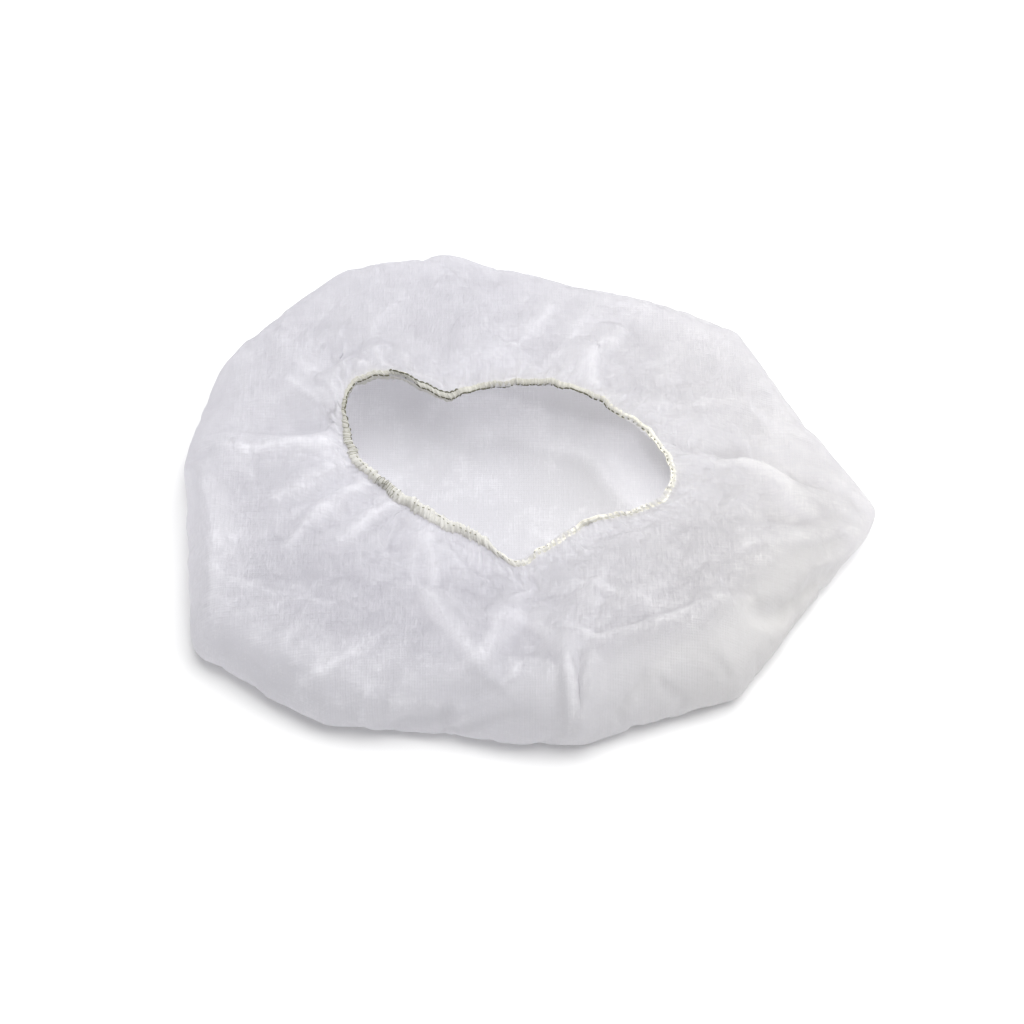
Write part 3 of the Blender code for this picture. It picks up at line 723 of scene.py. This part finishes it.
def make_nonwoven():
    """Thin nonwoven: level fibres pressed in a fine square grain, cloudy, matt, and letting light through."""
    material, shader, spots = new_material("nonwoven_white")
    drift_way = spots.node("ShaderNodeTexNoise", None, {"Vector": spots, "Scale": 55.0}, 1)
    wander = spots.node("ShaderNodeVectorMath", {"operation": "SCALE"}, {0: drift_way, "Scale": 0.0012})
    warped = spots.node("ShaderNodeVectorMath", {"operation": "ADD"}, {0: spots, 1: wander})
    ways = spots.node("ShaderNodeAttribute", {"attribute_name": "facing"}, output=1)
    grain = None
    for axis in range(3):
        along = warped.node("ShaderNodeSeparateXYZ", None, {0: warped}, axis)
        shown = 1 - ways.node("ShaderNodeSeparateXYZ", None, {0: ways}, axis)
        lines = (along * (2 * math.pi / 0.00122)).sine() + 0.7 * (along * (2 * math.pi / 0.0024)).sine()
        grain = lines * shown if grain is None else grain + lines * shown
    fibres = spots.noise(420, 3, 0.7, (3.0, 0.5, 1)) + spots.noise(420, 3, 0.7, (0.5, 3.0, 1))
    clouds = spots.noise(130, 4, 0.6)
    drift = spots.noise(28, 2, 0.5)
    layers_and_painted_light = spots.node("ShaderNodeAttribute", {"attribute_name": "layers_and_painted_light"}, output=2)
    lying_and_painted_shade = spots.node("ShaderNodeAttribute", {"attribute_name": "lying_and_painted_shade"}, output=2)
    fine = (0.08 * grain + 1.5 * (fibres - 1.0)) * (1 - 0.55 * lying_and_painted_shade)
    dense = 0.5 + fine + 0.8 * (clouds - 0.5) + 0.8 * (drift - 0.5)
    # Painted light: whiter on doubled ridges and in a patch on the front, darker in painted shade in valleys, on the
    # front wall, on the left and on the floor inside the cap, less so below the back of the mouth
    dense = dense + 0.45 * layers_and_painted_light - 0.5 * lying_and_painted_shade
    tone = dense.between(0.0, 1.0)
    cool = tone.blend((0.54, 0.535, 0.565, 1), (0.91, 0.905, 0.94, 1))
    warm = tone.blend((0.56, 0.55, 0.535, 1), (0.94, 0.93, 0.90, 1))
    colour = spots.node("ShaderNodeSeparateXYZ", None, {0: spots}).between(-0.02, 0.13).blend(cool, warm)
    bump = finish_surface(shader, colour, 0.85, 0.08, 0.25 * grain + fibres + 0.6 * clouds, 0.22, 0.0004)
    fold = layers_and_painted_light.maths("MAXIMUM", layers_and_painted_light, 0.0)
    share = 0.78 - 0.25 * (clouds - 0.5) - 0.12 * (drift - 0.5) - 0.2 * fine
    # Less light goes through on doubled ridges, on the patch of painted light and where the painted shade is
    share = share - 0.10 * fold - 0.46 * lying_and_painted_shade
    let_through(shader, bump, (0.955, 0.95, 0.97, 1), share)
    return material


crown_cloth.data.materials.append(make_nonwoven())
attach(crown_cloth, "root")
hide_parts("crown")


# The hem. The cloth's edge is folded over the elastic and overlocked to it, so it puckers all the way round
# between the stitches, like a flat rope 2 to 6 mm wide. It is one closed ring of small pleats here.
HEM_COLUMNS = 2400
HEM_SIDES = 14
HEM_HALF_WIDTH = 0.0018
HEM_HALF_DEPTH = 0.0011
HEM_SINK = 0.0007
HEM_INWARD = 0.0009
PLEAT_SLANT = 0.35

# How wide the hem is, and how thick its olive thread shows, at some angles: both are shares of the full size.
# The last column is painted shade: how far its cloth goes from bright cream to an olive brown, most at the back.
Seam = namedtuple("Seam", "angle width thread dull")
SEAMS = (
    Seam(0, 0.45, 0.80, 0.35),
    Seam(30, 0.50, 0.90, 0.45),
    Seam(55, 0.85, 1.05, 0.60),
    Seam(85, 0.95, 1.10, 0.75),
    Seam(105, 1.00, 1.10, 0.75),
    Seam(118, 1.10, 1.10, 0.50),
    Seam(130, 0.75, 1.10, 0.80),
    Seam(145, 0.85, 1.10, 0.80),
    Seam(160, 1.35, 0.70, 0.50),
    Seam(175, 1.60, 0.55, 0.20),
    Seam(205, 1.75, 0.60, 0.05),
    Seam(235, 1.85, 0.60, 0.00),
    Seam(258, 1.60, 0.60, 0.00),
    Seam(272, 0.90, 0.50, 0.05),
    Seam(290, 0.45, 0.35, 0.10),
    Seam(325, 0.40, 0.40, 0.20),
    Seam(345, 0.42, 0.60, 0.30),
)


def hem_frame():
    """The middle of the hem strip by shares of its length, its directions, its angles, and its length."""
    angles = np.arange(0, 360, 0.125)
    root, edge = folded_cloth([HEM, EDGE], angles)
    middle = (root + edge) / 2
    gone = np.concatenate([[0], np.cumsum(np.linalg.norm(np.roll(middle, -1, 0) - middle, axis=1))])

    def even(values, shares):
        closed = np.concatenate([values, values[:1]])
        return np.stack([np.interp(np.mod(shares, 1) * gone[-1], gone, closed[:, k]) for k in range(3)], -1)

    def at(shares):
        across = unit(even(edge - root, shares))
        ahead = unit(even(middle, shares + 1e-3) - even(middle, shares - 1e-3))
        up = unit(np.cross(ahead, across))
        lap = 2 * math.pi * shares[:, None]
        roll = 0.3 * np.sin(7 * lap + 1) + 0.25 * np.sin(17 * lap + 4)
        sway = 0.0004 * np.sin(13 * lap) + 0.0003 * np.sin(29 * lap + 2) + 0.00025 * np.sin(47 * lap + 1)
        across, up = across * np.cos(roll) + up * np.sin(roll), up * np.cos(roll) - across * np.sin(roll)
        return even(middle, shares) - up * HEM_SINK + across * (sway + HEM_INWARD), across, up

    def angle_at(shares):
        return np.interp(np.mod(shares, 1) * gone[-1], gone, np.append(angles, 360))

    return at, angle_at, gone[-1]


hem_at, hem_angle, hem_length = hem_frame()
stitches = round(hem_length / STITCH_PITCH)
pleats = 2 * stitches
pleat_rng = np.random.default_rng(4)
pleat_ends = np.cumsum(pleat_rng.uniform(0.5, 1.5, pleats))
pleat_ends = np.concatenate([[0], pleat_ends / pleat_ends[-1]])
pleat_sizes = pleat_rng.uniform(0.4, 1.3, pleats)
pleat_sizes[1::2] *= 0.45


def pleat_height(shares):
    """How full the pleats are at some shares of the hem's length: 0 at a stitch, up to about 1 between."""
    shares = np.mod(shares, 1)
    number = np.clip(np.searchsorted(pleat_ends, shares, side="right") - 1, 0, pleats - 1)
    inside = (shares - pleat_ends[number]) / (pleat_ends[number + 1] - pleat_ends[number])
    return np.sin(np.pi * inside) ** 0.7 * pleat_sizes[number]


def hem_fullness(shares, turn):
    """The hem's half width by its table at a turn round its rope, and how full its pleats are there."""
    wide = HEM_HALF_WIDTH * around(SEAMS, "width", hem_angle(shares)) * np.cos(turn)
    return wide, pleat_height(shares + PLEAT_SLANT * wide / hem_length)


def hem_surface(shares, turn, lift=0.0):
    """Points on the hem's rope at some shares of its length and a turn round it, 0 at its edge."""
    middle, across, up = hem_at(shares)
    wide, full = hem_fullness(shares, turn)
    deep = HEM_HALF_DEPTH * around(SEAMS, "width", hem_angle(shares)) * np.sin(turn)
    wide = wide * (0.76 + 0.32 * full) + lift * np.cos(turn)
    deep = deep * (0.5 + 0.6 * full) + lift * np.sin(turn)
    return middle + across * np.reshape(wide, (-1, 1)) + up * np.reshape(deep, (-1, 1))


hem_shares = np.arange(HEM_COLUMNS) / HEM_COLUMNS
hem_rings = [hem_surface(hem_shares, 2 * math.pi * k / HEM_SIDES) for k in range(HEM_SIDES)]
hem_gathers = add_mesh("hem_gathers", hem_rings, closed_faces(HEM_SIDES, HEM_COLUMNS))
hem_full = [hem_fullness(hem_shares, 2 * math.pi * k / HEM_SIDES)[1] for k in range(HEM_SIDES)]
# Painted shade on the hem, more at its back and in the valleys between its pleats
hem_painted_shades = around(SEAMS, "dull", hem_angle(hem_shares)) + 0.35 * np.maximum(1 - np.array(hem_full), 0) ** 2
add_values(hem_gathers, "dull", hem_painted_shades)


def make_hem_cloth(name, dark, light):
    """The same cloth in several plies under thread: creamier, less see-through, finely fibrous, and darker towards
    olive brown in painted shade where its points say.
    """
    material, shader, spots = new_material(name)
    fibres = spots.noise(900, 4, 0.7)
    blotch = spots.noise(160, 3, 0.6)
    dull = spots.node("ShaderNodeAttribute", {"attribute_name": "dull"}, output=2)
    dense = 0.9 + 0.9 * (fibres - 0.5) + 0.8 * (blotch - 0.5) - 0.75 * dull
    colour = dense.between(0.1, 0.9).blend(dark, light)
    bump = finish_surface(shader, colour, 0.9, 0.15, fibres, 0.5, 0.0004)
    let_through(shader, bump, (0.9, 0.89, 0.86, 1), 0.5)
    return material


hem_gathers.data.materials.append(make_hem_cloth("hem_cloth", (0.58, 0.57, 0.52, 1), (0.97, 0.965, 0.94, 1)))
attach(hem_gathers, "root")


# The turned-in cloth. The cloth's raw edge is folded in over the elastic, and hangs down a little inside the
# mouth as a thin gathered strip, which shows as a dark line below the back of the hem. Its cloth is coloured
# darker than the hem's, in painted shade.
FACING_SIDES = 8
FACING_THICKNESS = 0.0004
FACING_DROP, FACING_BACK_DROP = 0.0016, 0.0032


def make_facing():
    """A closed thin strip that hangs from the hem's edge, evenly puckered, longest at the back."""
    shares = np.arange(HEM_COLUMNS) / HEM_COLUMNS
    middle, across, up = hem_at(shares)
    angles = hem_angle(shares)
    half = HEM_HALF_WIDTH * around(SEAMS, "width", angles)[:, None]
    away = np.stack([np.cos(np.radians(angles)), np.sin(np.radians(angles)), angles * 0], -1)
    drop = FACING_DROP + FACING_BACK_DROP * smooth(1.3 - np.abs(angles - 138) / 30) + 0.0002 * np.sin(angles * 1.9)
    wave = 0.0003 * np.sin(shares * 2 * math.pi * pleats / 2) + 0.0005 * np.sin(angles * 0.8)
    top = middle + across * half * 0.7 - up * 0.0004
    loops = []
    for turn in np.arange(FACING_SIDES) * 2 * math.pi / FACING_SIDES:
        along = (1 - math.cos(turn)) / 2
        thick = FACING_THICKNESS / 2 * math.sin(turn)
        spots = top + away * (thick + 0.0012 * along + wave * along)[:, None]
        spots[:, 2] -= drop * along
        loops.append(spots)
    return add_mesh("hem_facing", loops, closed_faces(FACING_SIDES, HEM_COLUMNS))


hem_facing = make_facing()
# Its cloth is coloured darker than the hem's, in painted shade
hem_facing.data.materials.append(make_hem_cloth("hem_underside_painted_shade", (0.40, 0.40, 0.37, 1), (0.62, 0.615, 0.59, 1)))
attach(hem_facing, "root")


# The threads. A cream overlock thread loops round the hem at each pleat, faded olive in places. An olive chain
# runs along the edge, a dash to each stitch, and shows on the hem's face and at its root in places.
LOOP_RADIUS = 0.00011
LOOP_LIFT = 0.00012
CHAIN_RADIUS = 0.00036


def tubes(name, paths, radius, sides, sizes=None):
    """One piece of many short tubes, each along a path of points, closed to a point at both ends."""
    spots, faces = [], []
    for number, path in enumerate(paths):
        first = len(spots)
        ahead = unit(np.gradient(path, axis=0))
        beside = unit(np.cross(ahead, (0.31, 0.17, 0.93)))
        above = np.cross(beside, ahead)
        for index, spot in enumerate(path):
            thin = radius * (0.35 if index in (0, len(path) - 1) else 1) * (1 if sizes is None else sizes[number])
            for side in range(sides):
                turn = 2 * math.pi * side / sides
                spots.append(spot + (beside[index] * math.cos(turn) + above[index] * math.sin(turn)) * thin)
        faces += ring_faces(len(path), sides, first)
        last = first + (len(path) - 1) * sides
        faces += [tuple(range(first + sides - 1, first - 1, -1)), tuple(range(last, last + sides))]
    return add_mesh(name, spots, faces)


def loop_path(share, reach):
    """A loop of thread from the root of the hem over its top, round its edge and back under it."""
    turns = np.linspace(2.75, -1.9, 9) * reach
    slant = PLEAT_SLANT * HEM_HALF_WIDTH * np.cos(turns) / hem_length
    return np.array([hem_surface(np.array([share - s]), t, LOOP_LIFT)[0] for s, t in zip(slant, turns)])


loop_reach = pleat_rng.uniform(0.85, 1.08, pleats)
loop_paths = [loop_path(share, reach) for share, reach in zip(pleat_ends[:-1], loop_reach)]
loop_angles = hem_angle(pleat_ends[:-1])
hatched = [145 < angle < 173 or 190 < angle < 203 for angle in loop_angles]
overlock_loops = tubes("overlock_loops", [path for path, dark in zip(loop_paths, hatched) if not dark], LOOP_RADIUS, 4)
olive_loops = tubes("olive_loops", [path for path, dark in zip(loop_paths, hatched) if dark], LOOP_RADIUS * 1.3, 4)


def add_chain(name, turn, lift, arcs):
    """Dashes of thread along the hem at a turn round it, one for each stitch, inside some arcs of angles."""
    paths, sizes = [], []
    for start, end in zip(pleat_ends[:-2:2], pleat_ends[2::2]):
        angle = float(hem_angle((start + end) / 2))
        if not any(low < angle < high for low, high in arcs):
            continue
        size = float(around(SEAMS, "thread", angle))
        gap = 0.02 + 0.28 * float(smooth((1.05 - size) * 5))
        shares = start + (end - start) * np.linspace(gap, 1 - gap, 7)
        sunk = lift * np.sin(np.linspace(0, math.pi, 7)) - 0.00003
        wander = 0.12 * np.sin(2 * math.pi * 9 * shares)
        path = [hem_surface(np.array([s]), turn + w, d)[0] for s, w, d in zip(shares, wander, sunk)]
        paths.append(np.array(path))
        sizes.append(size)
    return tubes(name, paths, CHAIN_RADIUS, 6, sizes)


edge_chain = add_chain("edge_chain", 0.12, 0.0002, [(0, 172), (280, 360)])
face_chain = add_chain("face_chain", 1.1, 0.0001, [(172, 190), (193, 205), (213, 226), (232, 256), (266, 276)])
root_chain = add_chain("root_chain", 2.5, 0.0001, [(112, 126)])


def make_thread(name, dark, light):
    """Spun polyester thread: two tones by fibre noise, matt, with a little sheen."""
    material, shader, spots = new_material(name)
    tone = spots.noise(1500, 3, 0.6) * 0.6 + spots.noise(120, 2, 0.5) * 0.4
    colour = tone.between(0.3, 0.7).blend(dark, light)
    finish_surface(shader, colour, 0.75, 0.2, tone, 0.4, 0.0002)
    return material


cream_thread = make_thread("cream_thread", (0.76, 0.75, 0.69, 1), (0.93, 0.92, 0.87, 1))
olive_thread = make_thread("olive_thread", (0.05, 0.05, 0.03, 1), (0.16, 0.16, 0.10, 1))
faded_thread = make_thread("faded_thread", (0.16, 0.16, 0.10, 1), (0.42, 0.41, 0.31, 1))
for thread, finish in ((overlock_loops, cream_thread), (olive_loops, faded_thread), (edge_chain, olive_thread),
                       (face_chain, faded_thread), (root_chain, olive_thread)):
    thread.data.materials.append(finish)
    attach(thread, "root")


# The elastic. A flat band of rubber strands covered in yarn, sewn inside the hem under the pleats, where it turns
# down a little into the mouth. It follows the hem, with strands along it and fine yarn ribs across.
ELASTIC_COLUMNS = 900
ELASTIC_SIDES = 24
ELASTIC_HALF_WIDTH, ELASTIC_HALF_DEPTH = 0.0016, 0.00042
ELASTIC_DROP = 0.0003
elastic_shares = np.arange(ELASTIC_COLUMNS) / ELASTIC_COLUMNS
elastic_middle, elastic_across, elastic_up = hem_at(elastic_shares)
elastic_middle = elastic_middle - elastic_up * ELASTIC_DROP
elastic_rings = []
for k in range(ELASTIC_SIDES):
    turn = 2 * math.pi * k / ELASTIC_SIDES
    flat = ELASTIC_HALF_WIDTH * np.sign(math.cos(turn)) * abs(math.cos(turn)) ** 0.6
    strands = 0.00008 * math.cos(flat / ELASTIC_HALF_WIDTH * 4 * math.pi)
    yarn = 0.00003 * np.sin(elastic_shares * 2 * math.pi * ELASTIC_COLUMNS / 3)
    deep = (ELASTIC_HALF_DEPTH + strands + yarn) * np.sign(math.sin(turn)) * abs(math.sin(turn)) ** 0.6
    elastic_rings.append(elastic_middle + elastic_across * flat + elastic_up * deep[:, None])
elastic_yarn = add_mesh("elastic_yarn", elastic_rings, closed_faces(ELASTIC_SIDES, ELASTIC_COLUMNS))
elastic_yarn.data.materials.append(make_thread("elastic_cover", (0.70, 0.68, 0.58, 1), (0.88, 0.86, 0.78, 1)))
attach(elastic_yarn, "root")
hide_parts("elastic_band")


# The table that the cap lies on, the light and the camera. Plain white paper under soft light from above and
# from the right, seen from 52 degrees above the horizon.
def make_table():
    bpy.ops.mesh.primitive_plane_add(size=8, location=(0, 0, -0.0002))
    table = bpy.context.object
    table.name = "table"
    material, shader, spots = new_material("paper_white")
    tone = spots.noise(3, 2)
    colour = tone.between(0.2, 0.8).blend((0.85, 0.85, 0.85, 1), (0.87, 0.87, 0.87, 1))
    material.node_tree.links.new(colour.output, shader.inputs["Base Color"])
    shader.inputs["Roughness"].default_value = 0.9
    table.data.materials.append(material)


make_table()


def add_lamp(name, place, size, power):
    lamp = bpy.data.lights.new(name, "AREA")
    lamp.size = size
    lamp.energy = power
    thing = bpy.data.objects.new(name, lamp)
    thing.location = place
    thing.rotation_mode = "QUATERNION"
    thing.rotation_quaternion = Vector(place).to_track_quat("Z", "Y")
    bpy.context.scene.collection.objects.link(thing)


add_lamp("soft_key", (0.45, 0.28, 1.7), 2.4, 55)
world = bpy.data.worlds.new("white_room")
world.use_nodes = True
world.node_tree.nodes["Background"].inputs["Color"].default_value = (1, 1, 1, 1)
world.node_tree.nodes["Background"].inputs["Strength"].default_value = 0.45
bpy.context.scene.world = world
bpy.context.scene.view_settings.view_transform = "Standard"

camera = bpy.data.cameras.new("camera")
camera.sensor_width = 36
camera.lens = 115.361
camera_thing = bpy.data.objects.new("camera", camera)
eye = Vector((-0.0087768, -0.9877481, 1.2587159))
aim = Vector((-0.0087768, -0.0026896, -0.0021014))
camera_thing.location = eye
camera_thing.rotation_mode = "QUATERNION"
camera_thing.rotation_quaternion = (eye - aim).to_track_quat("Z", "Y")
bpy.context.scene.collection.objects.link(camera_thing)
bpy.context.scene.camera = camera_thing

bpy.context.view_layer.update()
